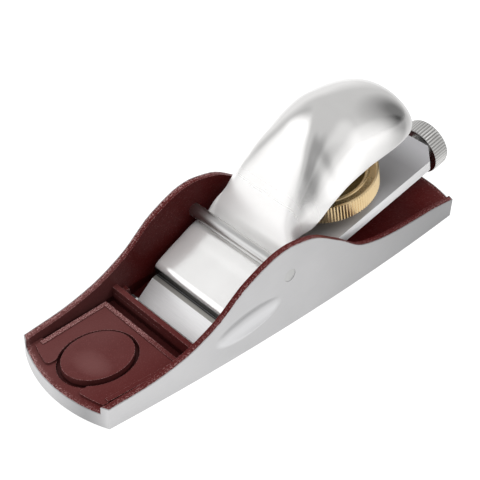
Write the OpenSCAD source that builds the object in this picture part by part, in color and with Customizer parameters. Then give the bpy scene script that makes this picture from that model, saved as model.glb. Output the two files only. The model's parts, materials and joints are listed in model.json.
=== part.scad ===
// Pocket plane: a small low-angle block plane, bevel up.
// Millimetres. The origin is the middle of the sole, on the sole plane.
// The toe points to -X, the heel to +X and up is +Z.
// "Along the bed" is the distance from the mouth point up the sloping bed, and
// "above the bed" is square to it. Both are used for all that lies on the bed.

/* [Body casting] */
// Length of the sole, from the toe's arc to the heel's arc
sole_len = 127; // [122:0.5:140]
// Width at the middle
body_w = 36; // [35.5:0.1:42]
// Width across the corners of the toe
toe_w = 31.9; // [31:0.1:34]
// Rise of the toe's arc
toe_rise = 3.7; // [2:0.1:6]
// Rise of the heel's arc
heel_rise = 3.4; // [2:0.1:6]
// Thickness of the side walls
wall = 1.8; // [1.2:0.1:2]
// Height of the walls at the crown
crown_h = 25.2; // [23:0.1:30]
// Distance of the crown from the middle, towards the toe
crown_x = 6.5; // [4:0.5:9]
// Height of the walls at the toe
toe_wall_h = 6; // [5.2:0.1:8]
// Height of the walls at the heel
heel_wall_h = 5.4; // [4.8:0.1:7]
// Thickness of the floor at the heel
heel_floor = 4.3; // [3:0.1:4.6]
// Thickness of the strip along the toe's edge
toe_floor = 3.8; // [3:0.1:4.6]
// Thickness of the sole at the bottom of the grooves
sole_t = 2; // [1.5:0.1:2.6]

/* [Toe] */
// Step up from the strip to the plateau
plateau_step = 0.7; // [0.3:0.1:1.2]
// Width of the lip along the plateau's sides and rear
lip_w = 1.2; // [0.8:0.1:2]
// Height of the lip above the plateau
lip_rise = 0.3; // [0.1:0.05:0.6]
// Radius of the plateau's front corners
plateau_round = 1; // [0.5:0.1:1.5]
// Width of the strip along the toe's edge
strip_w = 2.4; // [1.5:0.1:4]
// Width of the groove between the plateau and each wall
side_groove_w = 1.5; // [1:0.1:3.5]
// Width of the trench behind the plateau
trench_w = 3.4; // [2:0.1:5]
// Length of the oval finger pad
pad_len = 18.4; // [14:0.1:19]
// Width of the oval finger pad
pad_w = 14.6; // [10:0.1:16]
// Distance of the pad's centre from the mouth point
pad_back = 21.8; // [21:0.1:22.5]
// Height of the pad's rim above the plateau
pad_rise = 0.7; // [0.2:0.1:1.5]
// Depth of the dish in the pad
pad_dish = 0.6; // [0.2:0.1:0.9]
// Width of the moat round the pad
moat_w = 1.1; // [0.8:0.1:2]
// Width of the gap where the moat runs out to the strip
moat_mouth = 11.6; // [8:0.1:14]
// Thickness of the wall in front of the mouth
mouth_wall = 1.5; // [1.2:0.1:3]
// Width of the ledge between that wall and the mouth
mouth_ledge = 1.6; // [0.5:0.1:2.4]
// Height of the wall in front of the mouth
mouth_wall_h = 6.4; // [5:0.1:8]

/* [Bed and mouth] */
// Slope of the bed
bed_angle = 13.5; // [12:0.5:15]
// Distance of the mouth point from the middle, towards the toe
mouth_x = 28.6; // [27:0.1:30]
// Clear width in front of the cutting edge's line
mouth_open = 2.1; // [1.8:0.1:3]
// Length of the mouth slot across the sole
mouth_w = 28.6; // [28.2:0.1:30]
// Start of the bed behind the mouth point
bed_start = 1.3; // [1:0.1:2]
// Length of the ramp behind the mouth, along the bed
ramp_len = 23; // [20:0.5:26]
// Width of the pillar under the rear of the blade
pillar_w = 14; // [10:0.5:20]
// Length of the pillar
pillar_len = 20; // [14:0.5:22]
// End of the pillar along the bed
pillar_end = 65.5; // [60:0.5:66]
// Gap under the blade where it slides on its bed
slide_gap = 0.02; // [0.01:0.01:0.05]

/* [Finger hollows] */
// Length of the hollow in each side
hollow_len = 21; // [14:0.5:26]
// Width of the hollow
hollow_w = 6.8; // [5:0.1:9]
// Depth of the hollow
hollow_depth = 0.8; // [0.4:0.1:1]
// Distance of the hollow's centre from the middle, towards the toe
hollow_x = 19.5; // [16:0.5:22]
// Height of the hollow's centre
hollow_z = 9; // [8:0.1:10]
// Slope of the hollow
hollow_tilt = 8; // [0:1:15]

/* [Blade] */
// Width of the blade
blade_w = 27; // [24:0.1:27.4]
// Thickness of the blade
blade_t = 3.2; // [2.5:0.1:3.6]
// Length of the blade
blade_len = 84.2; // [82:0.1:87]
// Grinding angle of the bevel
bevel = 29; // [25:1:35]
// Cut at each rear corner
corner_cut = 4.2; // [2:0.1:6]
// Distance of the cutting edge behind the mouth point, along the bed
edge_back = 0.8; // [0.8:0.1:1.2]

/* [Cross pin] */
// Diameter of the cross pin
pin_d = 3.5; // [3:0.1:4.5]
// Distance of the pin along the bed
pin_along = 25.1; // [24.5:0.1:26]
// Gap between the pin and the lever cap's plate
pin_gap = 0.05; // [0.02:0.01:0.1]
// Gap round the pin in its holes
pin_fit = 0.01; // [0:0.01:0.02]

/* [Lever cap] */
// Distance of the nose along the bed
nose_along = 8.2; // [8:0.1:9]
// Thickness of the plate under the pin
plate_t = 6; // [5:0.1:6.4]
// Thickness of the plate at the nose
nose_t = 3.6; // [3:0.1:4.2]
// Gap between the nose and the blade
nose_gap = 0.1; // [0.05:0.01:0.2]
// Gap between the plate and each side wall
plate_side_gap = 0.9; // [0.5:0.1:1.5]
// Half width of the spoon
spoon_half = 12.4; // [11.4:0.1:12.8]
// Height of the spoon's crown above the bed
spoon_h = 34.4; // [33:0.1:37]
// Height of the spoon's rim above the bed
spoon_rim = 14.8; // [14:0.1:16]
// Distance of the spoon's tail along the bed
tail_along = 82; // [80:0.1:85]
// Distance of the spoon's crown along the bed
crown_along = 57; // [55:0.5:60]
// Fall of the spoon behind its crown: 1 is straight, 2 is an ellipse
tail_power = 1.7; // [1.4:0.05:2.2]
// Wall of the spoon
cap_wall = 2.2; // [1.6:0.1:2.8]

/* [Clamp] */
// Distance of the clamp screw along the bed
clamp_along = 55.2; // [54.5:0.1:56]
// Diameter of the brass wheel
wheel_d = 28.6; // [26:0.1:29]
// Height of the wheel's rim
wheel_rim_h = 5.6; // [4.5:0.1:6]
// Gap between the blade and the wheel
wheel_lift = 3.4; // [2.6:0.1:3.6]
// Width of the flat top of the wheel's rim
wheel_rim_w = 1.3; // [0.8:0.1:2]
// Depth of the dish in the wheel
wheel_dish = 1.5; // [0.8:0.1:2.4]
// Number of teeth round the wheel
wheel_teeth = 112; // [80:1:130]
// Depth of the grooves between the teeth
teeth_depth = 0.25; // [0.1:0.05:0.3]
// Diameter of the wheel's hub
hub_d = 10.8; // [9:0.1:12]
// Diameter of the clamp screw
screw_d = 6; // [5:0.1:6.4]
// Running gap round the screws and pivots
run_gap = 0.05; // [0.02:0.01:0.1]
// Diameter of the pressure pad
foot_d = 13; // [9:0.1:16]
// Gap between flat faces that turn or slide on each other
face_gap = 0.02; // [0.01:0.01:0.05]

/* [Depth adjuster] */
// Distance of the adjuster's axis under the bed
adjuster_drop = 8.4; // [8.2:0.1:8.6]
// Diameter of the stud
stud_d = 5; // [4:0.1:5.5]
// Diameter of the adjusting nut
nut_d = 14.5; // [12:0.1:15]
// Length of the nut's knurled head
nut_len = 5.4; // [4:0.1:7]
// Front face of the knurled head along the bed
nut_along = 90.45; // [89.5:0.05:93]
// Number of ridges round the nut
nut_ridges = 50; // [36:1:56]
// Depth of the grooves between the ridges
ridge_depth = 0.35; // [0.2:0.05:0.4]
// Diameter of the nut's neck
neck_d = 7.8; // [7.4:0.1:8.4]
// Depth of the groove in the neck
groove_depth = 0.8; // [0.6:0.1:1]
// Thickness of the fork in the groove
fork_t = 2; // [1.5:0.1:2.4]
// Front of the fork along the bed
fork_along = 76; // [75.5:0.5:78]
// Width of the feed slide
slide_w = 11; // [10:0.1:13]
// Height of the nib in the blade's slot
nib_h = 1; // [0.6:0.1:1.4]

/* [Hidden] */
$fn = 96;
eps = 0.01;

// Side walls: two long arcs, symmetrical about a line a little towards the toe
bow_x = -2.9;
toe_corner_x = -(sole_len / 2 - toe_rise);
side_drop = (body_w - toe_w) / 2;
side_r = pow(bow_x - toe_corner_x, 2) / (2 * side_drop) + side_drop / 2;
toe_r = (pow(toe_w / 2, 2) + toe_rise * toe_rise) / (2 * toe_rise);
heel_corner_x = sole_len / 2 - heel_rise;
heel_half = body_w / 2 - side_r + sqrt(side_r * side_r - pow(heel_corner_x - bow_x, 2));
heel_r = (heel_half * heel_half + heel_rise * heel_rise) / (2 * heel_rise);

// Shape of the wall's top line: share of the way to the crown, share of the rise
toe_line = [[0, 0], [0.19, 0.034], [0.38, 0.139], [0.565, 0.371], [0.75, 0.769],
    [0.94, 0.985], [1, 1]];
heel_line = [[0, 1], [0.1, 0.938], [0.25, 0.653], [0.4, 0.314], [0.55, 0.188], [0.7, 0.128],
    [0.85, 0.085], [1, 0]];

// Slope of a smooth curve through the points of s at point i
function slope_at(s, i) =
    let (a = i > 0 ? (s[i][1] - s[i - 1][1]) / (s[i][0] - s[i - 1][0]) : undef,
        b = i < len(s) - 1 ? (s[i + 1][1] - s[i][1]) / (s[i + 1][0] - s[i][0]) : undef)
    i == 0 ? b : i == len(s) - 1 ? a : a * b <= 0 ? 0 : 2 * a * b / (a + b);
function piece_of(s, x, i = 0) =
    i >= len(s) - 2 || x < s[i + 1][0] ? i : piece_of(s, x, i + 1);
// Value at x of the smooth curve through the points of s
function curve(s, x) =
    let (i = piece_of(s, x), w = s[i + 1][0] - s[i][0], t = (x - s[i][0]) / w)
    s[i][1] * (2 * t * t * t - 3 * t * t + 1) + slope_at(s, i) * w * (t * t * t - 2 * t * t + t)
    + s[i + 1][1] * (3 * t * t - 2 * t * t * t) + slope_at(s, i + 1) * w * (t * t * t - t * t);

function wall_top(x) =
    x < -crown_x
    ? toe_wall_h + (crown_h - toe_wall_h)
        * curve(toe_line, max(0, (x - toe_corner_x) / (-crown_x - toe_corner_x)))
    : heel_wall_h + (crown_h - heel_wall_h)
        * curve(heel_line, min(1, (x + crown_x) / (heel_corner_x + crown_x)));

// Bed frame
ca = cos(bed_angle);
sa = sin(bed_angle);
function bed_z(x) = (x + mouth_x) * sa / ca;
function bed_point(along, above) =
    [along * ca - above * sa - mouth_x, along * sa + above * ca];

// Puts children drawn with x along the bed and z above it in their place
module on_bed(along = 0, above = 0) {
    translate([-mouth_x, 0, 0])
        rotate([0, -bed_angle, 0])
            translate([along, 0, above])
                children();
}

// A flat shape drawn as [along the bed, above the bed], made w wide across the plane
module across(w) {
    rotate([90, 0, 0])
        linear_extrude(height = w, center = true)
            children();
}

// A cylinder whose axis runs up the bed
module up_bed(d, len) {
    rotate([0, 90, 0])
        cylinder(d = d, h = len);
}

/* Body */
module arc_side(inset, side) {
    translate([bow_x, side * (body_w / 2 - side_r)])
        circle(r = side_r - inset, $fn = 1440);
}

module side_band(inset) {
    intersection() {
        arc_side(inset, 1);
        arc_side(inset, -1);
        square([sole_len + 20, body_w + 20], center = true);
    }
}

module sole_outline() {
    intersection() {
        side_band(0);
        union() {
            translate([-sole_len / 2 + toe_r, 0])
                circle(r = toe_r, $fn = 360);
            translate([-sole_len / 2 + toe_r, -body_w])
                square([sole_len, 2 * body_w]);
        }
        union() {
            translate([sole_len / 2 - heel_r, 0])
                circle(r = heel_r, $fn = 360);
            translate([sole_len / 2 - heel_r - sole_len, -body_w])
                square([sole_len, 2 * body_w]);
        }
    }
}

line_steps = 72;
module wall_profile() {
    x0 = -sole_len / 2 - 1;
    x1 = sole_len / 2 + 1;
    polygon(concat(
        [[x0, 0], [x1, 0]],
        [for (i = [line_steps:-1:0]) let (x = x0 + (x1 - x0) * i / line_steps) [x, wall_top(x)]]
    ));
}

mouth_front = -mouth_x - mouth_open;
mouth_wall_front = mouth_front - mouth_ledge - mouth_wall;
trench_front = mouth_wall_front - trench_w;
plateau_z = toe_floor + plateau_step;
pad_x = -mouth_x - pad_back;
// Half width between the walls at x
function inner_half(x) =
    body_w / 2 - side_r + sqrt(pow(side_r - wall, 2) - pow(x - bow_x, 2));

module oval(grow) {
    polygon([for (i = [0:71])
        [(pad_len / 2 + grow) * cos(5 * i), (pad_w / 2 + grow) * sin(5 * i)]]);
}

// The plateau: the toe's outline drawn in by the strip's width
module plateau_outline(inset = 0) {
    intersection() {
        translate([strip_w, 0])
            sole_outline();
        translate([-sole_len / 2, -body_w])
            square([sole_len / 2 + trench_front - inset, 2 * body_w]);
        side_band(wall + side_groove_w + inset);
    }
}

// What is taken off the plateau's front corner beside the moat, to round it
module plateau_corner() {
    y = moat_mouth / 2;
    r = plateau_round;
    x = toe_r - sole_len / 2 + strip_w - sqrt(toe_r * toe_r - pow(y + r, 2));
    translate([x, y])
        difference() {
            translate([-1, -eps])
                square([1 + r, r + eps]);
            translate([r, r])
                circle(r = r);
        }
}

// Cut by the moat, which runs out to the strip at the front
module plateau() {
    difference() {
        plateau_outline();
        translate([pad_x, 0])
            oval(moat_w);
        translate([-sole_len / 2 - strip_w, -moat_mouth / 2])
            square([pad_x + sole_len / 2 + strip_w, moat_mouth]);
        plateau_corner();
        mirror([0, 1])
            plateau_corner();
    }
}

// The lip along the plateau's sides and along the trench
module plateau_lip() {
    difference() {
        plateau_outline();
        plateau_outline(lip_w);
        translate([-sole_len / 2, -body_w])
            square([toe_rise + strip_w, 2 * body_w]);
    }
}

module toe_forms() {
    // plateau, from the bottom of the grooves
    translate([0, 0, sole_t - eps])
        linear_extrude(height = plateau_z - sole_t + eps)
            plateau();
    translate([0, 0, sole_t - eps])
        linear_extrude(height = plateau_z + lip_rise - sole_t)
            plateau_lip();
    // strip along the toe's edge, under the plateau's front
    translate([0, 0, sole_t - eps])
        linear_extrude(height = toe_floor - sole_t + eps)
            difference() {
                intersection() {
                    sole_outline();
                    side_band(wall / 2);
                    translate([-sole_len / 2 - 1, -body_w])
                        square([pad_x - pad_len * 0.3 + sole_len / 2 + 1, 2 * body_w]);
                }
                translate([pad_x, 0])
                    oval(moat_w);
            }
    // floor of the moat
    translate([pad_x, 0, sole_t - eps])
        linear_extrude(height = 1)
            oval(moat_w + eps);
    // the pad with its dish
    translate([pad_x, 0, 0])
        difference() {
            translate([0, 0, sole_t - eps])
                linear_extrude(height = plateau_z + pad_rise - sole_t)
                    oval(0);
            dish_r = (pow(pad_w / 2, 2) + pad_dish * pad_dish) / (2 * pad_dish);
            translate([0, 0, plateau_z + pad_rise - pad_dish + dish_r])
                sphere(r = dish_r, $fn = 180);
        }
    // wall in front of the mouth
    translate([mouth_wall_front, -inner_half(mouth_front) - wall / 2, sole_t - eps])
        cube([mouth_wall, 2 * inner_half(mouth_front) + wall, mouth_wall_h - sole_t + eps]);
}

ramp_end = bed_point(ramp_len, 0);
pillar_top_end = bed_point(pillar_end, -slide_gap);
pillar_x = pillar_top_end[0];
adjuster_start = bed_point(pillar_end, -adjuster_drop);

module bed_forms() {
    // ramp behind the mouth, full width between the walls
    start = bed_start - mouth_x;
    across(2 * inner_half(start) + wall)
        polygon([[start, 0], [ramp_end[0], 0], [ramp_end[0], bed_z(ramp_end[0]) - slide_gap],
            [start, bed_z(start) - slide_gap]]);
    // pillar under the rear of the blade, wider at its foot
    across(pillar_w)
        polygon([[pillar_x - pillar_len - 2, sole_t], [pillar_x + 2, sole_t],
            [pillar_x, pillar_top_end[1]],
            [pillar_x - pillar_len, bed_z(pillar_x - pillar_len) - slide_gap]]);
}

module finger_hollow(side) {
    ring_r = (pow(hollow_w / 2, 2) + hollow_depth * hollow_depth) / (2 * hollow_depth);
    long_r = (pow(hollow_len / 2, 2) + hollow_depth * hollow_depth) / (2 * hollow_depth);
    surface = body_w / 2 - side_r + sqrt(side_r * side_r - pow(hollow_x + bow_x, 2));
    translate([-hollow_x, side * (surface - hollow_depth + ring_r), hollow_z])
        rotate([0, 90 - hollow_tilt, 0])
            rotate_extrude()
                intersection() {
                    translate([ring_r - long_r, 0])
                        circle(r = long_r, $fn = 360);
                    translate([0, -hollow_len])
                        square([2 * ring_r, 2 * hollow_len]);
                }
}

module body() color("#5a1f24") {
    difference() {
        union() {
            // shell: outline and wall line, hollowed between the walls down to the floors
            difference() {
                intersection() {
                    linear_extrude(height = crown_h + 1)
                        sole_outline();
                    across(body_w + 2)
                        wall_profile();
                }
                intersection() {
                    translate([0, 0, sole_t])
                        linear_extrude(height = crown_h + 2)
                            side_band(wall);
                    translate([-sole_len, -body_w, 0])
                        cube([sole_len + mouth_front, 2 * body_w, crown_h * 2]);
                }
                translate([0, 0, heel_floor])
                    linear_extrude(height = crown_h + 2)
                        side_band(wall);
            }
            intersection() {
                union() {
                    toe_forms();
                    bed_forms();
                }
                linear_extrude(height = crown_h)
                    side_band(wall / 2);
            }
        }
        // mouth, through the sole
        translate([mouth_front, -mouth_w / 2, -1])
            cube([mouth_open + bed_start, mouth_w, mouth_wall_h + crown_h]);
        // the floor is cut away above the bed, between the walls
        intersection() {
            linear_extrude(height = crown_h + 2)
                side_band(wall);
            on_bed(0, -slide_gap)
                translate([0, -body_w, 0])
                    cube([ramp_len, 2 * body_w, crown_h]);
        }
        // holes for the cross pin
        on_bed(pin_along, pin_above)
            rotate([90, 0, 0])
                cylinder(d = pin_d + 2 * pin_fit, h = body_w + 4, center = true);
        // hole for the stud
        on_bed(pillar_end - stud_hold, -adjuster_drop)
            up_bed(stud_d + 2 * pin_fit, stud_hold + 4);
        finger_hollow(1);
        finger_hollow(-1);
    }
}

// Cross pin: its underside holds the plate down
plate_top = blade_t + nose_gap + plate_t;
pin_above = plate_top + pin_gap + pin_d / 2;
pin_x = bed_point(pin_along, pin_above)[0];
pin_half = body_w / 2 - side_r + sqrt(side_r * side_r - pow(abs(pin_x - bow_x) + pin_d / 2, 2));
module cross_pin() color("#b9b9b6") {
    on_bed(pin_along, pin_above)
        rotate([90, 0, 0])
            union() {
                cylinder(d = pin_d, h = 2 * pin_half - 0.8, center = true);
                for (s = [0, 1])
                    mirror([0, 0, s])
                        translate([0, 0, pin_half - 0.4 - eps])
                            cylinder(d1 = pin_d, d2 = pin_d - 0.6, h = 0.4);
            }
}

// Blade
bevel_len = blade_t / tan(bevel);
slot_along = fork_along - 5.6;
slot_len = 2.2;
module blade() color("#c6c6c8") {
    difference() {
        on_bed()
            across(blade_w)
                polygon([[edge_back, 0], [edge_back + blade_len, 0],
                    [edge_back + blade_len, blade_t], [edge_back + bevel_len, blade_t]]);
        // rear corners
        for (s = [0, 1])
            mirror([0, s, 0])
                on_bed(edge_back + blade_len, -1)
                    linear_extrude(height = blade_t + 2)
                        polygon([[-corner_cut, blade_w / 2 + eps], [1, blade_w / 2 + eps],
                            [1, blade_w / 2 - corner_cut - 1]]);
        // cross slot for the feed slide's nib
        on_bed(slot_along, -1)
            translate([0, -slide_w / 2, 0])
                cube([slot_len, slide_w, nib_h + 1.2]);
    }
}

// Lever cap: one shell, from sections square to the bed
cap_under = blade_t + nose_gap;
plate_half = body_w / 2 - wall - plate_side_gap;
top_line = [[nose_along, cap_under + nose_t], [nose_along + 9, cap_under + nose_t + 1.3],
    [pin_along - 2, plate_top], [pin_along + pin_d / 2 + 0.4, plate_top],
    [28.6, 10.9], [31, 14.6], [34, 18.8], [38, 22.9], [44, spoon_h - 6.2],
    [50, spoon_h - 1.7], [crown_along, spoon_h], [crown_along + 5, spoon_h]];
half_line = [[nose_along, 14], [16, 14.9], [pin_along, plate_half], [29, plate_half - 0.4],
    [33, spoon_half - 0.1], [38, spoon_half + 0.7], [44, spoon_half + 0.9],
    [52, spoon_half + 0.5], [60, spoon_half]];
rim_line = [[nose_along, cap_under], [27, cap_under], [33, 12.8], [38, 13.1],
    [46, spoon_rim + 1.2], [53, spoon_rim + 2.2], [tail_along, spoon_rim]];
// Exponent of each section: high is square, 2 is an ellipse
round_line = [[nose_along, 7], [pin_along, 7], [29, 5.4], [34, 6], [40, 3.8], [48, 2.3],
    [60, 2]];
// Share of the half width that is the flare of the skirt at the foot of the neck
flare_line = [[nose_along, 0], [26, 0], [33, 0.16], [40, 0.17], [50, 0.12], [60, 0]];
half_from = 60;

// Share of the way from one place to the tail, from 0 to 1
function tail_share(a, from) = max(0, min(1, (a - from) / (tail_along - from)));
function cap_rim(a) = curve(rim_line, a);
// Behind the crown the spoon falls as a superellipse, steeper towards the tail
function cap_top(a) =
    a <= crown_along ? curve(top_line, a)
    : spoon_rim + (spoon_h - spoon_rim)
        * pow(max(0, 1 - pow(tail_share(a, crown_along), tail_power)), 1 / tail_power);
function cap_half(a) =
    a <= half_from ? curve(half_line, a)
    : spoon_half * pow(max(0, 1 - pow(tail_share(a, half_from), 4)), 1 / 3);

// Half of a section, crown first: points [across, above]
ring = 12;
function half_section(half, rim, top, power, flare) =
    [for (i = [0:ring]) let (q = 90 * i / ring)
        [half * ((1 - flare) * pow(sin(q), 2 / power) + flare * pow(i / ring, 5)),
            rim + (top - rim) * pow(max(0, cos(q)), 2 / power)]];

// A ring of points round the whole section, from the far rim over the crown to the near rim
function section(a, half, rim, top, power, flare) =
    let (s = half_section(half, rim, top, power, flare))
    concat([for (i = [ring:-1:0]) [a, s[i][0], s[i][1]]],
        [for (i = [1:ring]) [a, -s[i][0], s[i][1]]]);

cap_steps = 40;
inner_start = nose_along + 3;
inner_tail = tail_along - cap_wall;
function outer_station(i) =
    let (t = i / cap_steps)
    nose_along + (tail_along - 0.02 - nose_along) * (1 - pow(1 - t, 1.5));
function inner_station(i) =
    let (t = i / cap_steps)
    inner_start + (inner_tail - 0.02 - inner_start) * (1 - pow(1 - t, 1.5));

function inner_top(a) =
    max(cap_rim(a) + 0.02 + 0.7 * min(1, (inner_tail - a) / 4),
        min(cap_top(max(nose_along, a - cap_wall)), cap_top(min(tail_along, a + cap_wall * 0.6)),
            cap_top(a)) - cap_wall);
function inner_width(a) =
    max(0.4, min(cap_half(max(nose_along, a)), cap_half(min(tail_along, a + cap_wall)))
        - cap_wall);

module cap_shell() {
    n = 2 * ring + 1;
    outer = [for (i = [0:cap_steps]) let (a = outer_station(i))
        each section(a, max(0.4, cap_half(a)), cap_rim(a), cap_top(a), curve(round_line, min(60, a)),
            curve(flare_line, min(60, a)))];
    inner = [for (i = [0:cap_steps]) let (a = inner_station(i))
        each section(a, inner_width(a), cap_rim(a), inner_top(a), curve(round_line, min(60, a)),
            curve(flare_line, min(60, a)))];
    base = len(outer);
    // two triangles for the cell between rings i and i + 1, points j and j + 1
    skin = [for (i = [0:cap_steps - 1], j = [0:n - 2]) let (k = i * n + j)
        each [[k, k + n + 1, k + 1], [k, k + n, k + n + 1]]];
    lining = [for (i = [0:cap_steps - 1], j = [0:n - 2]) let (k = base + i * n + j)
        each [[k, k + 1, k + n + 1], [k, k + n + 1, k + n]]];
    // rims on both sides, from the outer to the inner edge
    rims = [for (i = [0:cap_steps - 1]) let (k = i * n, m = k + n - 1)
        each [[k, base + k, k + n], [k + n, base + k, base + k + n],
            [m, m + n, base + m], [m + n, base + m + n, base + m]]];
    // the nose: a flat front, the lip behind it and the edge under it
    front = [for (j = [0:n - 3]) [n - 1, j, j + 1]];
    lip = [for (j = [0:n - 3]) [base + n - 1, base + j + 1, base + j]];
    nose_edge = [[0, base + n - 1, base], [0, n - 1, base + n - 1]];
    // the tail, outside and inside
    e = cap_steps * n;
    back = [for (j = [0:n - 3]) [e + n - 1, e + j + 1, e + j]];
    back_in = [for (j = [0:n - 3]) [base + e + n - 1, base + e + j, base + e + j + 1]];
    tail_edge = [[e, base + e, base + e + n - 1], [e, base + e + n - 1, e + n - 1]];
    polyhedron(points = concat(outer, inner),
        faces = concat(skin, lining, rims, front, lip, nose_edge, back, back_in, tail_edge),
        convexity = 6);
}

boss_d = screw_d + 4.4;
boss_from = spoon_rim + 4.5;
boss_to = spoon_h - 2 * cap_wall;
module lever_cap() color("#d7d7d6") {
    on_bed()
        difference() {
            union() {
                cap_shell();
                // boss for the clamp screw, run into the crown
                translate([clamp_along, 0, boss_from])
                    cylinder(d = boss_d, h = boss_to - boss_from);
                translate([clamp_along, 0, boss_to - eps])
                    cylinder(d1 = boss_d, d2 = screw_d - 0.5, h = cap_wall + 0.8);
            }
            translate([clamp_along, 0, boss_from - 1])
                cylinder(d = screw_d + 2 * run_gap, h = screw_top - boss_from + 2.6);
        }
}

// A straight knurl: a ring of V teeth, d over the tips, from z = 0 up to h
module knurl(d, h, count, depth) {
    linear_extrude(height = h)
        difference() {
            polygon([for (i = [0:2 * count - 1])
                (d / 2 - (i % 2) * depth) * [cos(180 * i / count), sin(180 * i / count)]]);
            circle(r = d / 2 - depth - knurl_bite);
        }
}
// Step from the bottom of a knurl's grooves to the drum, and how deep the knurl sits in the drum
knurl_step = 0.05;
knurl_bite = 0.5;

// Clamp: wheel, screw and pressure pad on one axis square to the bed
foot_from = blade_t + face_gap;
foot_h = wheel_lift - 2 * face_gap - 0.6;
wheel_from = blade_t + wheel_lift;
wheel_hub_from = foot_from + foot_h + face_gap;
screw_top = boss_from + 9;
tip_d = screw_d * 0.66;
tip_depth = 1.6;

module clamp_wheel() color("#b98f4a") {
    r = wheel_d / 2 - teeth_depth - knurl_step;
    top = wheel_from + wheel_rim_h;
    on_bed(clamp_along)
        union() {
            rotate_extrude()
                polygon([[screw_d / 2, wheel_hub_from], [foot_d / 2, wheel_hub_from],
                    [foot_d / 2, wheel_from], [r - 0.3, wheel_from], [r, wheel_from + 0.3],
                    [r, top - 0.3], [r - 0.3, top], [r - 0.3 - wheel_rim_w, top],
                    [r - 0.8 - wheel_rim_w, top - wheel_dish], [hub_d / 2, top - wheel_dish],
                    [hub_d / 2 - 0.4, top + 0.4], [screw_d / 2, top + 0.4]]);
            translate([0, 0, wheel_from + 0.4])
                knurl(wheel_d, wheel_rim_h - 0.8, wheel_teeth, teeth_depth);
        }
}

module clamp_screw() color("#9c9a96") {
    on_bed(clamp_along)
        union() {
            translate([0, 0, wheel_hub_from])
                cylinder(d = screw_d, h = screw_top - wheel_hub_from - 0.6);
            translate([0, 0, screw_top - 0.6 - eps])
                cylinder(d1 = screw_d, d2 = screw_d - 1.2, h = 0.6);
            translate([0, 0, foot_from + foot_h - tip_depth + face_gap])
                cylinder(d = tip_d, h = wheel_hub_from - foot_from - foot_h + tip_depth);
        }
}

module pressure_pad() color("#8f8d88") {
    on_bed(clamp_along, foot_from)
        difference() {
            cylinder(d = foot_d, h = foot_h);
            translate([0, 0, foot_h - tip_depth])
                cylinder(d = tip_d + 2 * run_gap, h = tip_depth + 1);
        }
}

// Depth adjuster
stud_hold = 16;
stud_end = nut_along + nut_len - 3.4;
neck_from = fork_along - 3.2;
groove_len = fork_t + 2 * face_gap;
head_end = nut_along + nut_len;

module adjuster_stud() color("#a6a5a1") {
    on_bed(pillar_end - stud_hold, -adjuster_drop)
        union() {
            up_bed(stud_d, stud_end - pillar_end + stud_hold - 0.6);
            translate([stud_end - pillar_end + stud_hold - 0.6 - eps, 0, 0])
                rotate([0, 90, 0])
                    cylinder(d1 = stud_d, d2 = stud_d - 1.2, h = 0.6);
        }
}

module adjusting_nut() color("#c2c1bd") {
    neck_r = neck_d / 2;
    r = nut_d / 2 - ridge_depth - knurl_step;
    on_bed(0, -adjuster_drop)
        rotate([0, 90, 0])
            difference() {
                rotate_extrude()
                    polygon([[0, neck_from], [neck_r, neck_from],
                        [neck_r, fork_along - face_gap],
                        [neck_r - groove_depth, fork_along - face_gap],
                        [neck_r - groove_depth, fork_along - face_gap + groove_len],
                        [neck_r, fork_along - face_gap + groove_len], [neck_r, nut_along],
                        [r - 0.4, nut_along], [r, nut_along + 0.4],
                        [r, head_end - 0.6], [r - 0.6, head_end], [0, head_end]]);
                translate([0, 0, neck_from - 1])
                    cylinder(d = stud_d + 2 * run_gap, h = head_end - neck_from + 1 - 1.2);
            }
    on_bed(0, -adjuster_drop)
        rotate([0, 90, 0])
            translate([0, 0, nut_along + 0.5])
                knurl(nut_d, nut_len - 1.2, nut_ridges, ridge_depth);
}

module feed_slide() color("#8d8c89") {
    groove_r = neck_d / 2 - groove_depth;
    fork_low = neck_d / 2 + 0.1;
    union() {
        difference() {
            on_bed(fork_along, -adjuster_drop - fork_low)
                translate([0, -slide_w / 2, 0])
                    cube([fork_t, slide_w, adjuster_drop + fork_low - slide_gap]);
            on_bed(fork_along - 1, -adjuster_drop)
                up_bed(2 * (groove_r + run_gap), fork_t + 2);
            on_bed(fork_along - 1, -adjuster_drop - fork_low - 1)
                translate([0, -groove_r - run_gap, 0])
                    cube([fork_t + 2, 2 * (groove_r + run_gap), fork_low + 1]);
        }
        on_bed(slot_along - 1.4, -1.8)
            translate([0, -slide_w / 2, 0])
                cube([fork_along - slot_along + 1.4 + eps, slide_w, 1.8 - slide_gap]);
        on_bed(slot_along + 0.1, -1)
            translate([0, -slide_w / 2 + 0.2, 0])
                cube([slot_len - 0.2, slide_w - 0.4, 1 + nib_h]);
    }
}

body();
cross_pin();
blade();
lever_cap();
clamp_wheel();
clamp_screw();
pressure_pad();
adjuster_stud();
adjusting_nut();
feed_slide();
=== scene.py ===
"""Pocket plane: a small low-angle block plane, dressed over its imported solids.

Metres throughout. Pieces that lie on the bed are modelled in the bed's own frame, x up the
bed, y across and z square to it, and their places are then turned into the plane's frame.
"""

import json
import math
from collections import Counter

import bmesh
import bpy
from mathutils import Matrix, Vector


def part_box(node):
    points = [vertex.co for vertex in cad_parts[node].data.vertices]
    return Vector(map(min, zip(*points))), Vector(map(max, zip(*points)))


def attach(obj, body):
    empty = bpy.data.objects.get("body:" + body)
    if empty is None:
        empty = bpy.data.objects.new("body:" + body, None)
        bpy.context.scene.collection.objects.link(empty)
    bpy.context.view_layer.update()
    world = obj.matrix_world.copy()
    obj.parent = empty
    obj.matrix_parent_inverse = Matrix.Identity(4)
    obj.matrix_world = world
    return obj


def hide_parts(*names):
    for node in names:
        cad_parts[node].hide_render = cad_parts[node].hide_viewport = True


MM = 0.001

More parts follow.
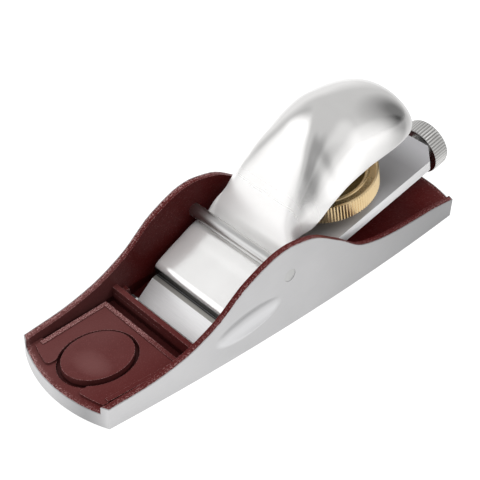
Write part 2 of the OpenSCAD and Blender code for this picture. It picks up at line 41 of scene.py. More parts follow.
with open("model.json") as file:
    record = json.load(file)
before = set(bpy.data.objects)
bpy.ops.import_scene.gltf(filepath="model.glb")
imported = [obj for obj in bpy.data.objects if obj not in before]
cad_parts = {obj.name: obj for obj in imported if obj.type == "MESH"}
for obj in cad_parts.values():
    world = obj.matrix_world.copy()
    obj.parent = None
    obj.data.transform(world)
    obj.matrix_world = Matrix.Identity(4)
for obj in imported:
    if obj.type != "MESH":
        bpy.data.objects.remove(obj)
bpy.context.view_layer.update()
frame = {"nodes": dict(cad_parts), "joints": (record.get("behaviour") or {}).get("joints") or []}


def joint(name):
    """The frame's joint of this name."""
    return next(j for j in frame["joints"] if j["name"] == name)


# Outline of the sole: its sides, toe and heel are flat arcs

BODY_LOW, BODY_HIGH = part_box("body")
SOLE_LEN = BODY_HIGH.x - BODY_LOW.x
BODY_W = BODY_HIGH.y - BODY_LOW.y
TOE_W = 31.9 * MM
TOE_RISE = 3.7 * MM
HEEL_RISE = 3.4 * MM
BOW_X = -2.9 * MM  # the sides are widest here


def arc_radius(half_chord, rise):
    """The radius of an arc that rises this much over a chord."""
    return (half_chord**2 + rise**2) / (2 * rise)


SIDE_R = arc_radius(BOW_X + SOLE_LEN / 2 - TOE_RISE, (BODY_W - TOE_W) / 2)
TOE_R = arc_radius(TOE_W / 2, TOE_RISE)
HEEL_CORNER_X = SOLE_LEN / 2 - HEEL_RISE
HEEL_HALF = BODY_W / 2 - SIDE_R + math.sqrt(SIDE_R**2 - (HEEL_CORNER_X - BOW_X) ** 2)
HEEL_R = arc_radius(HEEL_HALF, HEEL_RISE)

# Bed: it starts at the mouth and rises towards the heel

UP_BED = Vector(joint("blade_feed")["axis"])
BED_ANGLE = math.atan2(UP_BED.z, UP_BED.x)
MOUTH_X = -28.6 * MM
BED = Matrix.Translation((MOUTH_X, 0, 0)) @ Matrix.Rotation(-BED_ANGLE, 4, "Y")

# Finger hollow in each side

HOLLOW_X = -19.5 * MM
HOLLOW_Z = 9 * MM
HOLLOW_LEN = 21 * MM
HOLLOW_W = 6.8 * MM
HOLLOW_DEPTH = 0.8 * MM
HOLLOW_TILT = math.radians(8)

# Toe: its oval pad, and the lip round the plateau that the pad stands in

PAD_X = MOUTH_X - 21.8 * MM
PAD_LEN = 18.4 * MM
PAD_W = 14.6 * MM
LIP_TOP = 4.8 * MM

# Edges of the casting

CAST_MERGE = 0.002 * MM
CAST_FLAT = math.radians(0.6)
CAST_SHARP = math.radians(32)
CAST_ROUND = 0.4 * MM
CAST_OUTWARD = 0.1  # least sum of the turns at a face's edges that counts as outward
BARE_EDGE = 0.24 * MM  # the paint stops this far inside the outer faces
BARE_WANDER = 0.34 * MM  # how much that line comes and goes

# Blade

BLADE_T = 3.2 * MM
BLADE_W = 27 * MM
BLADE_LEN = 84.2 * MM
EDGE_BACK = 0.8 * MM
BEVEL = math.radians(29)
BEVEL_RUN = BLADE_T / math.tan(BEVEL)
CORNER_CUT = 4.2 * MM
BLADE_ROUND = 0.14 * MM
SLOT_ALONG = 70.4 * MM
SLOT_LEN = 2.2 * MM
SLOT_W = 11 * MM
SLOT_DEPTH = 1.2 * MM

# Cross pin

PIN_ALONG = 25.1 * MM
PIN_D = 3.5 * MM
PIN_ROUND = 0.06 * MM

# Lever cap: places along the bed, and heights above it

NOSE = 8.2 * MM
PLATE_END = 27 * MM  # the neck rises behind it
CROWN = 57 * MM
TAIL = 82 * MM
TAIL_GAP = 0.02 * MM  # the skins end this far inside the tail
NOSE_SOLID = 3 * MM  # the hollow underneath starts this far behind the nose
CAP_UNDER = 3.3 * MM
PLATE_TOP = 9.3 * MM
SPOON_RIM = 14.8 * MM
SPOON_H = 34.4 * MM
NOSE_T = 3.6 * MM
NOSE_ROUND = 1.7 * MM
CAP_WALL = 2.2 * MM
CAP_ROUND = 0.35 * MM
CAP_SHARP = math.radians(48)
SPOON_HALF = 12.4 * MM
PLATE_HALF = 15.3 * MM
HALF_FROM = 60 * MM  # the spoon narrows from here on
LEAST_HALF = 0.4 * MM  # the skins are at least this wide to each side

# Clamp: its wheel, and the boss under the spoon that the screw runs in

CLAMP = 55.2 * MM
WHEEL_D = 28.6 * MM
WHEEL_FROM = 6.6 * MM
WHEEL_TOP = WHEEL_FROM + 5.6 * MM
WHEEL_ROUND = 0.4 * MM
WHEEL_TEETH = 112
TEETH_DEPTH = 0.25 * MM
RIM_GROOVE = 0.35 * MM
RIM_LIP = 2.65 * MM  # the lip's line, in from the outside
LIP_HALF = 0.25 * MM
LIP_ROUND = 0.08 * MM
RIM_W = 3.5 * MM
WHEEL_DISH = 1.5 * MM
HUB_D = 10.8 * MM
HUB_RISE = 0.4 * MM
HUB_FROM = 6 * MM
FOOT_D = 13 * MM
SCREW_D = 6 * MM
SCREW_GAP = 0.05 * MM
BOSS_D = 10.4 * MM
BOSS_FROM = 19.3 * MM
BOSS_TO = 30 * MM
BOSS_ROOT = 33 * MM  # its tip, inside the spoon's wall
BOSS_SIDES = 64
BOSS_BORE = 8.6 * MM

# Depth adjuster: its axis lies under the bed

ADJUSTER_DROP = 8.4 * MM
NUT_D = 14.5 * MM
NUT_ALONG = 90.45 * MM
NUT_END = NUT_ALONG + 5.36 * MM
NUT_RIDGES = 50
RIDGE_DEPTH = 0.42 * MM
RIDGE_FLANK = 0.55  # how deep the ridges' flanks lie, as a share of that
NUT_CHAMFER = 0.8 * MM
NUT_RECESS = 0.3 * MM  # in its end face
NUT_HOLLOW = 0.7 * MM  # in its front face
NUT_ROUND = 0.5 * MM  # at its front edge
NUT_WALL = 1.2 * MM
NECK_D = 7.8 * MM
NECK_FROM = 72.8 * MM
NECK_CHAMFER = 0.3 * MM
FORK_ALONG = 76 * MM
FORK_T = 2 * MM
GROOVE_DEPTH = 0.8 * MM
STUD_BORE = 5.1 * MM

# Camera: it stands in front of the toe on the near side

CAMERA_AT = Vector((-164.37, -159.55, 193.96)) * MM
# in degrees
CAMERA_AZIMUTH = -44.773
CAMERA_ELEVATION = 38.359
CAMERA_ROLL = 2.582
# in millimetres of film
CAMERA_LENS = 87.64
CAMERA_SENSOR = 36
# it sees what lies between these distances
CAMERA_NEAR = 10 * MM
CAMERA_FAR = 10


# Materials


class Socket:
    """An output of a material's nodes. Arithmetic on it adds Math nodes."""

    def __init__(self, tree, out=None):
        self.tree = tree
        self.out = out

    def node(self, kind, settings=None, inputs=None, output=0):
        """Adds a node, sets it, and then fills or links its inputs. Returns one output."""
        made = self.tree.nodes.new(kind)
        for key, value in (settings or {}).items():
            setattr(made, key, value)
        for key, value in (inputs or {}).items():
            if isinstance(value, Socket):
                self.tree.links.new(value.out, made.inputs[key])
            else:
                made.inputs[key].default_value = value
        return Socket(self.tree, made.outputs[output])

    def math(self, operation, *values, clamp=False):
        """A Math node on these values."""
        return self.node(
            "ShaderNodeMath",
            {"operation": operation, "use_clamp": clamp},
            dict(enumerate(values)),
        )

    def __add__(self, other):
        return self.math("ADD", self, other)

    def __sub__(self, other):
        return self.math("SUBTRACT", self, other)

    def __rsub__(self, other):
        return self.math("SUBTRACT", other, self)

    def __mul__(self, other):
        return self.math("MULTIPLY", self, other)

    def __truediv__(self, other):
        return self.math("DIVIDE", self, other)

    def __pow__(self, other):
        return self.math("POWER", self, other)

    def __abs__(self):
        return self.math("ABSOLUTE", self)

    __radd__ = __add__
    __rmul__ = __mul__

    def least(self, other):
        """The smaller of the two."""
        return self.math("MINIMUM", self, other)

    def most(self, other):
        """The larger of the two."""
        return self.math("MAXIMUM", self, other)

    def over(self, edge, soft):
        """0 below edge and 1 above it, with a ramp that is soft wide."""
        return self.math("MULTIPLY_ADD", self, 1 / soft, 0.5 - edge / soft, clamp=True)

    def mix(self, low, high):
        """The colour low where this is 0, and high where it is 1."""
        return self.node(
            "ShaderNodeMix", {"data_type": "RGBA"}, {0: self, 6: low, 7: high}, output=2
        )


def rgb(red, green, blue):
    """An opaque colour."""
    return (red, green, blue, 1.0)


def new_material(name, **constants):
    """A material whose shader has these constants. Returns it, its shader and a bare socket."""
    made = bpy.data.materials.new(name)
    made.use_nodes = True
    shader = made.node_tree.nodes["Principled BSDF"]
    for key, value in constants.items():
        shader.inputs[key.replace("_", " ")].default_value = value
    return made, shader, Socket(made.node_tree)


def place_of(start):
    """The object coordinates in metres, as a vector and as its three numbers."""
    place = start.node("ShaderNodeTexCoord", output="Object")
    return place, [start.node("ShaderNodeSeparateXYZ", {}, {0: place}, output=i) for i in range(3)]


def on_bed(xyz):
    """The place along the bed, and the height above it."""
    x, _, z = xyz
    return (
        (x - MOUTH_X) * math.cos(BED_ANGLE) + z * math.sin(BED_ANGLE),
        z * math.cos(BED_ANGLE) - (x - MOUTH_X) * math.sin(BED_ANGLE),
    )


def grain(start, place, size, stretch=(1, 1, 1), turn=0.0, detail=2.0, roughness=0.5):
    """Noise between 0 and 1 whose grains are size wide, and longer where stretch is over 1."""
    placed = start.node(
        "ShaderNodeMapping",
        {"vector_type": "TEXTURE"},
        {"Vector": place, "Rotation": (0, turn, 0), "Scale": [size * s for s in stretch]},
    )
    return start.node(
        "ShaderNodeTexNoise",
        {"noise_dimensions": "3D"},
        {"Vector": placed, "Scale": 1.0, "Detail": detail, "Roughness": roughness},
    )


def feed(shader, name, value):
    """Links a value to one of the shader's inputs."""
    value.tree.links.new(value.out, shader.inputs[name])


def bump(shader, height, distance, strength):
    """Gives the shader a fine relief."""
    relief = {"Height": height, "Distance": distance, "Strength": strength}
    feed(shader, "Normal", height.node("ShaderNodeBump", {}, relief))


def depth_inside(start, place, xyz):
    """How far inside the casting's outline a point lies, and how far inside its side alone."""
    x, y, _ = xyz
    half = BODY_W / 2 - (x - BOW_X) ** 2 / (2 * SIDE_R)
    side = half - abs(y)
    toe = TOE_R - ((x - (TOE_R - SOLE_LEN / 2)).least(0) ** 2 + y**2) ** 0.5
    heel = HEEL_R - ((x - (SOLE_LEN / 2 - HEEL_R)).most(0) ** 2 + y**2) ** 0.5
    ragged = grain(start, place, 0.9 * MM, detail=3) - 0.5
    return side.least(toe).least(heel) + ragged * BARE_WANDER, side


def hollow_masks(xyz):
    """The finger hollow: 1 over all of it, and how lit and how shaded its ground face is."""
    x, _, z = xyz
    dx, dz = x - HOLLOW_X, z - HOLLOW_Z
    along = (dx * math.cos(HOLLOW_TILT) + dz * math.sin(HOLLOW_TILT)) / (0.6 * HOLLOW_LEN)
    across = (dz * math.cos(HOLLOW_TILT) - dx * math.sin(HOLLOW_TILT)) / (0.7 * HOLLOW_W)
    off_middle = along**2 + across**2
    whole = 1 - off_middle.over(1, 0.05)
    inside = 1 - off_middle.over(0.62, 0.2)
    lit = inside * (1 - across.over(0.05, 0.5))
    shaded = inside * across.over(0.3, 0.35)
    return whole, lit, shaded


PAINT_DARK = rgb(0.050, 0.0045, 0.0042)
PAINT_LIGHT = rgb(0.066, 0.0075, 0.0070)
# paler paints: a painted sheen on the toe and a painted reflection on the pad
PAINT_TOE_SHEEN = rgb(0.088, 0.028, 0.027)
PAINT_PAD_REFLECTION = rgb(0.125, 0.050, 0.048)
# near black: painted shade low in the casting
PAINT_LOW_SHADE = rgb(0.014, 0.0015, 0.0014)
# specks of worn paint, and painted glints
SPECK_GLINT_FAINT = rgb(0.11, 0.035, 0.035)
SPECK_BARE_AND_GLINT = rgb(0.32, 0.18, 0.175)
PAD_REFLECTION_X = PAD_X - 2.5 * MM
PAD_REFLECTION_Y = -1 * MM


def paint_colour(xyz, cloud):
    """Maroon, with a painted sheen that pales the toe towards its far side, and a painted
    reflection that pales the pad.
    """
    x, y, _ = xyz
    # painted sheen, paler towards the toe and the far side
    toe_sheen = (1 - x.over(-32 * MM, 10 * MM)) * y.over(-6 * MM, 26 * MM) * (0.5 + cloud)
    colour = toe_sheen.least(1).mix(cloud.mix(PAINT_DARK, PAINT_LIGHT), PAINT_TOE_SHEEN)
    # painted reflection on the pad, a little towards the toe
    off_pad_reflection = ((x - PAD_REFLECTION_X) / (3 * MM)) ** 2 + ((y - PAD_REFLECTION_Y) / (4 * MM)) ** 2
    return ((1 - off_pad_reflection.over(1, 2)) * 0.6).mix(colour, PAINT_PAD_REFLECTION)


def paint_wear_and_glints(xyz, depth):
    """How worn the paint is, with its painted glints, along the plateau's lip and on the wall
    tops.
    """
    x, y, z = xyz
    off_pad = (((x - PAD_X) / (0.52 * PAD_LEN)) ** 2 + (y / (0.52 * PAD_W)) ** 2).over(1, 0.1)
    lip = z.over(LIP_TOP - 0.12 * MM, 0.08 * MM) - z.over(LIP_TOP + 0.1 * MM, 0.08 * MM)
    lip = lip * off_pad * depth.over(2.6 * MM, 0.3 * MM)
    lip = lip * (1 - x.over(MOUTH_X - 3.4 * MM, 0.4 * MM)) * y.over(-6 * MM, 12 * MM) * 0.8
    wall_top = (1 - depth.over(1.3 * MM, 0.8 * MM)) * (y.over(0, 20 * MM) * 0.3 + 0.5)
    return lip.most(wall_top)


IRON_DARK = rgb(0.46, 0.46, 0.465)
IRON_LIGHT = rgb(0.60, 0.595, 0.60)
# painted shade, and a painted highlight, on the ground iron
IRON_SHADE = rgb(0.24, 0.24, 0.245)
IRON_LIT = rgb(0.72, 0.72, 0.73)


def iron_colour(xyz, marks, lit, shaded):
    """Ground iron. Painted shade darkens the toe's near corner, the heel and the hollow's
    shaded side, and a painted highlight lightens the hollow's lit side.
    """
    x, y, _ = xyz
    toe_corner = (1 - x.over(-61 * MM, 2 * MM)) * (1 - y.over(-7 * MM, 16 * MM))
    # painted shade at the toe's near corner, at the heel and in the hollow
    painted_shade = toe_corner.most(x.over(26 * MM, 50 * MM) * 0.5).most(shaded * 0.45)
    colour = painted_shade.mix(marks.mix(IRON_DARK, IRON_LIGHT), IRON_SHADE)
    return (lit * 0.7).mix(colour, IRON_LIT)


def casting_paint(name, worn_and_glinting):
    """Maroon paint inside and on the wall tops, and ground iron outside and underneath.

    The second argument is 0 where only some places have specks of lost paint and painted glints,
    and 1 where all of it has.
    """
    made, shader, start = new_material(name, Specular_IOR_Level=0.07)
    place, xyz = place_of(start)
    cloud = grain(start, place, 9 * MM, detail=4)
    fine = grain(start, place, 0.55 * MM, detail=3, roughness=0.6)
    pits = grain(start, place, 1.6 * MM)
    ground = grain(start, place, 0.12 * MM, stretch=(1, 1, 60), turn=math.radians(80), detail=3)

    depth, side = depth_inside(start, place, xyz)
    hollow, lit, shaded = hollow_masks(xyz)
    outer = 1 - depth.over(BARE_EDGE, 0.08 * MM)
    shallow = 1 - side.over(HOLLOW_DEPTH + 0.25 * MM, 0.05 * MM)
    sole = 1 - xyz[2].over(0.25 * MM, 0.05 * MM)
    iron = outer.most(hollow * shallow).most(sole)

    wear_and_glint = paint_wear_and_glints(xyz, depth).most(worn_and_glinting)
    # specks of lost paint, and painted glints of pink on the paint
    specks_and_glints = (grain(start, place, 0.3 * MM) + wear_and_glint * 0.15).over(0.66, 0.14)
    paint = specks_and_glints.mix(paint_colour(xyz, cloud), wear_and_glint.mix(SPECK_GLINT_FAINT, SPECK_BARE_AND_GLINT))
    # painted shade: the paint low in the casting turns near black
    low_shade = 1 - xyz[2].over(3.5 * MM, 0.5 * MM)
    paint = (low_shade * 0.7).mix(paint, PAINT_LOW_SHADE)
    bare = iron_colour(xyz, ground * 0.6 + cloud * 0.4, lit, shaded)
    feed(shader, "Base Color", iron.mix(paint, bare))
    feed(shader, "Metallic", iron)
    feed(shader, "Roughness", iron * (ground * 0.16 + 0.30) + (1 - iron) * (fine * 0.22 + 0.30))
    height = (1 - iron) * (fine * 0.5 + pits * 0.9) + iron * ground * 0.05
    bump(shader, height, 0.14 * MM, 0.7)
    return made


CAP_DULL = rgb(0.80, 0.79, 0.78)
CAP_BRIGHT = rgb(0.95, 0.945, 0.94)
# near black: the painted dark reflection on the nose's front end
CAP_NOSE_REFLECTION = rgb(0.02, 0.02, 0.019)


def polished_metal():
    """The cap, with a haze. Painted reflections: a paler, part matte plate and neck, white
    matte sides on the neck, and a near black front end on the nose.
    """
    made, shader, start = new_material("polished_metal")
    place, xyz = place_of(start)
    along, above = on_bed(xyz)
    # painted dark reflection on the nose's front end
    end = (1 - along.over(NOSE + 0.5 * MM, 0.4 * MM)) * (
        1 - above.over(CAP_UNDER + NOSE_T - 1.1 * MM, 0.6 * MM)
    )
    plate = 1 - along.over(PLATE_END, 3 * MM)
    neck = 1 - along.over(PLATE_END + 9 * MM, 12 * MM) - plate
    # painted reflection: the neck's sides lose their metal and turn white
    white_neck_side = abs(xyz[1]).over(11.5 * MM, 2 * MM) * (neck * 3).least(1)
    haze = grain(start, place, 6 * MM, detail=4)
    wipe = grain(start, place, 0.25 * MM, stretch=(1, 18, 1))
    # painted reflection: a paler plate and neck, on top of the haze
    haze_and_sheen = (haze * 0.5 + plate * 0.5 + neck * 0.3).least(1)
    feed(shader, "Base Color", end.mix(haze_and_sheen.mix(CAP_DULL, CAP_BRIGHT), CAP_NOSE_REFLECTION))
    feed(shader, "Metallic", (1 - plate * 0.4 - neck * 0.6).least(1 - white_neck_side * 0.9))
    wiped = (1 - plate) * (wipe * 0.04 + 0.05) + 0.05
    feed(shader, "Roughness", plate * 0.09 + neck * 0.22 + haze * 0.05 + wiped)
    bump(shader, haze, 0.05 * MM, 0.12)
    return made


# darker steel: on the nut it is painted shade
STEEL_DARKER = rgb(0.19, 0.19, 0.185)


def turned_steel(name, dark, light, rough, ring, darkening=None):
    """Steel with fine marks of turning, ring apart. The last argument gives the share that is
    darker: on the nut that is painted shade.
    """
    made, shader, start = new_material(name, Metallic=1.0)
    place, xyz = place_of(start)
    marks = grain(start, place, ring, stretch=(1, 30, 1), detail=3)
    cloud = grain(start, place, 4 * MM, detail=3)
    colour = (marks * 0.5 + cloud * 0.5).mix(dark, light)
    if darkening:
        colour = darkening(xyz).mix(colour, STEEL_DARKER)
    feed(shader, "Base Color", colour)
    feed(shader, "Roughness", marks * 0.14 + cloud * 0.08 + rough)
    bump(shader, marks, 0.02 * MM, 0.2)
    return made


BLADE_DARK = rgb(0.40, 0.395, 0.41)
BLADE_LIGHT = rgb(0.52, 0.515, 0.53)
# painted shade and shadow on the blade's flat
BLADE_SHADE_BAND = rgb(0.29, 0.285, 0.29)
BLADE_NOSE_SHADE = rgb(0.30, 0.29, 0.27)
BLADE_NOSE_SHADOW = rgb(0.03, 0.03, 0.03)
BEVEL_DARK = rgb(0.66, 0.66, 0.665)
BEVEL_LIGHT = rgb(0.88, 0.875, 0.88)


def blade_steel():
    """Ground steel: grey along the flat, brighter with cross grain on the bevel.

    The flat has painted shade in front of the cap, a painted black shadow right at the cap's nose,
    and painted shade again in a band behind the wheel.
    """
    made, shader, start = new_material("blade_steel")
    place, xyz = place_of(start)
    along, above = on_bed(xyz)
    bevel = (1 - along.over(EDGE_BACK + BEVEL_RUN + 0.05 * MM, 0.1 * MM)) * (
        above.over(0.05 * MM, 0.05 * MM)
    )
    side = abs(xyz[1]).over(BLADE_W / 2 - 0.05 * MM, 0.05 * MM)
    # painted shade in a band behind the wheel, under the spoon
    shade_band = along.over(64 * MM, 10 * MM) * (1 - along.over(79 * MM, 7 * MM))
    # painted shadow right at the cap's nose
    nose_shadow = (NOSE - along).over(0, 0.3 * MM) * along.over(NOSE - 0.4 * MM, 0.2 * MM)
    long_grain = grain(start, place, 0.16 * MM, stretch=(45, 1, 1), turn=-BED_ANGLE, detail=3)
    cross_grain = grain(start, place, 0.10 * MM, stretch=(1, 50, 1), detail=3)
    cloud = grain(start, place, 7 * MM, detail=4)
    marks = bevel * cross_grain + (1 - bevel) * long_grain
    flat = shade_band.mix((cloud * 0.5 + marks * 0.5).mix(BLADE_DARK, BLADE_LIGHT), BLADE_SHADE_BAND)
    # painted shade on the flat in front of the cap's nose
    flat = along.over(NOSE - 0.3 * MM, 0.3 * MM).mix(BLADE_NOSE_SHADE, flat)
    flat = nose_shadow.mix(flat, BLADE_NOSE_SHADOW)
    feed(shader, "Base Color", bevel.most(side).mix(flat, marks.mix(BEVEL_DARK, BEVEL_LIGHT)))
    feed(shader, "Metallic", 0.5 + along.over(68 * MM, 8 * MM) * 0.2)
    feed(shader, "Roughness", marks * 0.16 + cloud * 0.06 + side * 0.26 + bevel * 0.12 + 0.26)
    bump(shader, marks, 0.02 * MM, 0.25)
    return made


BRASS_DARK = rgb(0.70, 0.52, 0.28)
BRASS_LIGHT = rgb(0.94, 0.74, 0.45)
# painted shade on the brass
BRASS_SHADE = rgb(0.46, 0.33, 0.15)


def brass():
    """Turned brass, with painted shade in the dish, half as much on the rim and a little in the
    knurl's grooves.
    """
    made, shader, start = new_material("brass", Metallic=1.0)
    place, xyz = place_of(start)
    cloud = grain(start, place, 5 * MM, detail=4)
    fine = grain(start, place, 0.3 * MM, detail=3)
    along, above = on_bed(xyz)
    off = ((along - CLAMP) ** 2 + xyz[1] ** 2) ** 0.5
    dish = 1 - off.over(WHEEL_D / 2 - RIM_W, 0.2 * MM)
    groove = 1 - off.over(WHEEL_D / 2 - 0.5 * TEETH_DEPTH, 0.5 * TEETH_DEPTH)
    low = 1 - above.over(WHEEL_TOP - 0.6 * MM, 0.1 * MM)
    ring = off.over(WHEEL_D / 2 - RIM_LIP + 0.3 * MM, 0.1 * MM) * (1 - groove) * (1 - low)
    # painted shade in the dish, on the rim's top and in the knurl
    shade_share = dish.most(groove * low * 0.1).most(ring * 0.5)
    feed(shader, "Base Color", shade_share.mix(cloud.mix(BRASS_DARK, BRASS_LIGHT), BRASS_SHADE))
    feed(shader, "Roughness", fine * 0.10 + cloud * 0.08 + 0.20)
    bump(shader, fine, 0.02 * MM, 0.3)
    return made


# The studio as polished metal sees it: a grey room with brighter and darker zones. Each zone
# has the azimuth and elevation of its middle, its half width and softness, all in degrees,
# and what it adds to the room's level.
ROOM_LEVEL = 0.66
ROOM_MIDDLE = (20 * MM, 0, 30 * MM)
ROOM_ZONES = (
    (144, 40, 23, 15, 0.75),
    (150, 2, 15, 14, 0.60),
    (164, 25, 14, 11, -0.20),
    (117, 48, 12, 13, -0.20),
    (-51, -5, 15, 20, 0.78),
    (-68, 24, 17, 15, 0.20),
    (-39, -6, 12, 20, -0.66),
    (-17, 11, 20, 21, -0.46),
    (-93, 7, 17, 9, -0.34),
    (-112, 33, 14, 14, -0.30),
    (-138, 45, 11, 13, -0.28),
    (65, 0, 36, 21, 0.27),
    (185, 16, 16, 19, 0.26),
)


def room_level(start, towards):
    """How bright the studio is in the direction towards, which has a length of 1."""
    level = ROOM_LEVEL
    for azimuth, elevation, half, soft, adds in ROOM_ZONES:
        a, e = math.radians(azimuth), math.radians(elevation)
        middle = (math.cos(a) * math.cos(e), math.sin(a) * math.cos(e), math.sin(e))
        along = start.node(
            "ShaderNodeVectorMath",
            {"operation": "DOT_PRODUCT"},
            {0: towards, 1: middle},
            output="Value",
        )
        off = along.math("ARCCOSINE", along)
        level = level + (1 - off.over(math.radians(half), math.radians(soft))) * adds
    return level


FULL_GLOW = 2  # what a colour of 1 glows, so that half of it shows as white


def seen_as(camera, to_camera, to_others):
    """The grey that the camera's own rays see as to_camera, and all others as to_others."""
    return (camera * to_camera + (1 - camera) * to_others).mix(rgb(0, 0, 0), rgb(1, 1, 1))


FLOOR_GREY = rgb(0.86, 0.86, 0.86)
FLOOR_GLOW = 0.72  # the share of glow in what is seen, the rest keeps the shadow
FLOOR_TO_CAMERA = 0.6
FLOOR_TO_METAL = 0.68
FLOOR_DIMMER = 0.22
TOE_SIDE_BRIGHTER = 0.5
UNDER_SOLE = (58 * MM, 15 * MM)  # half the length and width that don't glow


def studio_floor():
    """A pale floor that keeps the shadow, and is white to the camera."""
    made, shader, start = new_material("studio_floor", Base_Color=FLOOR_GREY, Roughness=0.9)
    tree = made.node_tree
    camera, glossy, transmission = (
        start.node("ShaderNodeLightPath", output=name)
        for name in ("Is Camera Ray", "Is Glossy Ray", "Is Transmission Ray")
    )
    seen = camera.most(glossy).most(transmission)
    place, (along, across, _) = place_of(start)
    under_sole = (1 - abs(along).over(UNDER_SOLE[0], MM)) * (
        1 - abs(across).over(UNDER_SOLE[1], MM)
    )
    out = start.node("ShaderNodeVectorMath", {"operation": "SUBTRACT"}, {0: place, 1: ROOM_MIDDLE})
    out = start.node("ShaderNodeVectorMath", {"operation": "NORMALIZE"}, {0: out})
    toe_side = 1 - along.over(30 * MM, 120 * MM)
    level = room_level(start, out) + toe_side * TOE_SIDE_BRIGHTER - FLOOR_DIMMER
    grey = seen_as(camera, FLOOR_TO_CAMERA, (level * FLOOR_TO_METAL).most(0))
    glow = start.node("ShaderNodeEmission", {}, {"Color": grey, "Strength": FULL_GLOW})
    lit = Socket(tree, shader.outputs[0])
    glowing = seen * (1 - under_sole) * FLOOR_GLOW
    both = start.node("ShaderNodeMixShader", {}, {0: glowing, 1: lit, 2: glow})
    tree.links.new(both.out, tree.nodes["Material Output"].inputs["Surface"])
    return made


# Modelling helpers

NEAR = 0.01 * MM  # how close to its place a picked vertex lies
SKIN_MERGE = 0.0001 * MM


def only(*objects):
    """Selects these objects alone, the first one active."""
    if bpy.context.object and bpy.context.object.mode != "OBJECT":
        bpy.ops.object.mode_set(mode="OBJECT")
    bpy.ops.object.select_all(action="DESELECT")
    for each in objects:
        each.select_set(True)
    bpy.context.view_layer.objects.active = objects[0]


def started(name):
    """Names the primitive that was just added, and leaves it alone selected."""
    piece = bpy.context.object
    piece.name = piece.data.name = name
    only(piece)
    return piece


def pick(piece, kind, test):
    """In edit mode, selects the vertices, edges or faces that pass the test, and nothing else."""
    bpy.ops.object.mode_set(mode="EDIT")
    bpy.ops.mesh.select_mode(type={"vertices": "VERT", "edges": "EDGE", "polygons": "FACE"}[kind])
    bpy.ops.mesh.select_all(action="DESELECT")
    bpy.ops.object.mode_set(mode="OBJECT")
    for part in getattr(piece.data, kind):
        part.select = bool(test(part))
    bpy.ops.object.mode_set(mode="EDIT")


def ends_of(piece, edge):
    """The places of an edge's two ends."""
    return [piece.data.vertices[i].co for i in edge.vertices]


def modifier(piece, kind, **settings):
    """Adds a modifier, sets it and applies it."""
    only(piece)
    made = piece.modifiers.new(kind.title(), kind)
    for key, value in settings.items():
        setattr(made, key, value)
    bpy.ops.object.modifier_apply(modifier=made.name)


def smooth(piece, degrees):
    """Shades a piece smooth, but for edges that turn by more than these degrees."""
    only(piece)
    bpy.ops.object.shade_smooth_by_angle(angle=math.radians(degrees))


def tidy_normals(piece):
    """Merges doubled vertices, and turns all faces outwards."""
    only(piece)
    bpy.ops.object.mode_set(mode="EDIT")
    bpy.ops.mesh.select_all(action="SELECT")
    bpy.ops.mesh.remove_doubles(threshold=SKIN_MERGE)
    bpy.ops.mesh.normals_make_consistent(inside=False)
    bpy.ops.object.mode_set(mode="OBJECT")


def put(piece, matrix):
    """Writes a place into the mesh, so that the object stays at the origin."""
    only(piece)
    bpy.ops.object.transform_apply(location=True, rotation=True, scale=True)
    piece.data.transform(matrix)
    piece.data.update()


def dress(piece, material, body, node):
    """Gives a piece its material, unless it has its own already, and its place in the frame."""
    if material:
        piece.data.materials.clear()
        piece.data.materials.append(material)
    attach(piece, body)
    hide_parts(node)


def turn_from_face(piece, steps):
    """Extrudes the selected end face through steps of (rise, radius), about the z axis."""
    for rise, radius in steps:
        bpy.ops.object.mode_set(mode="OBJECT")
        face = next(p for p in piece.data.polygons if p.select)
        now = max(piece.data.vertices[i].co.xy.length for i in face.vertices)
        here = piece.data.vertices[face.vertices[0]].co.z
        bpy.ops.object.mode_set(mode="EDIT")
        bpy.ops.mesh.extrude_region_move(TRANSFORM_OT_translate={"value": (0, 0, rise - here)})
        bpy.ops.transform.resize(
            value=(radius / now, radius / now, 1), center_override=(0, 0, rise)
        )


def turned(name, sides, radius, low, high, below, above):
    """A turned piece on the z axis: a drum with its ends worked on by turn_from_face."""
    bpy.ops.mesh.primitive_cylinder_add(
        vertices=sides, radius=radius, depth=high - low, location=(0, 0, (low + high) / 2)
    )
    piece = started(name)
    bpy.ops.object.transform_apply(location=True, rotation=True, scale=True)
    for facing, steps in ((1, above), (-1, below)):
        pick(piece, "polygons", lambda face: face.normal.z * facing > 0.9)
        turn_from_face(piece, steps)
    bpy.ops.object.mode_set(mode="OBJECT")
    return piece


def knurl(piece, radius, sides, count, depths):
    """Presses grooves into the drum: of every group of sides, some lines move towards the axis."""
    group = sides // count
    for step, depth in enumerate(depths):
        if not depth:
            continue

        def on_line(v):
            turn = math.atan2(v.co.y, v.co.x) / (2 * math.pi) * sides
            on_drum = abs(v.co.xy.length - radius) < NEAR
            return on_drum and round(turn) % group == step

        pick(piece, "vertices", on_line)
        inwards = (radius - depth) / radius
        bpy.ops.transform.resize(value=(inwards, inwards, 1), center_override=(0, 0, 0))
    bpy.ops.object.mode_set(mode="OBJECT")


# The pieces


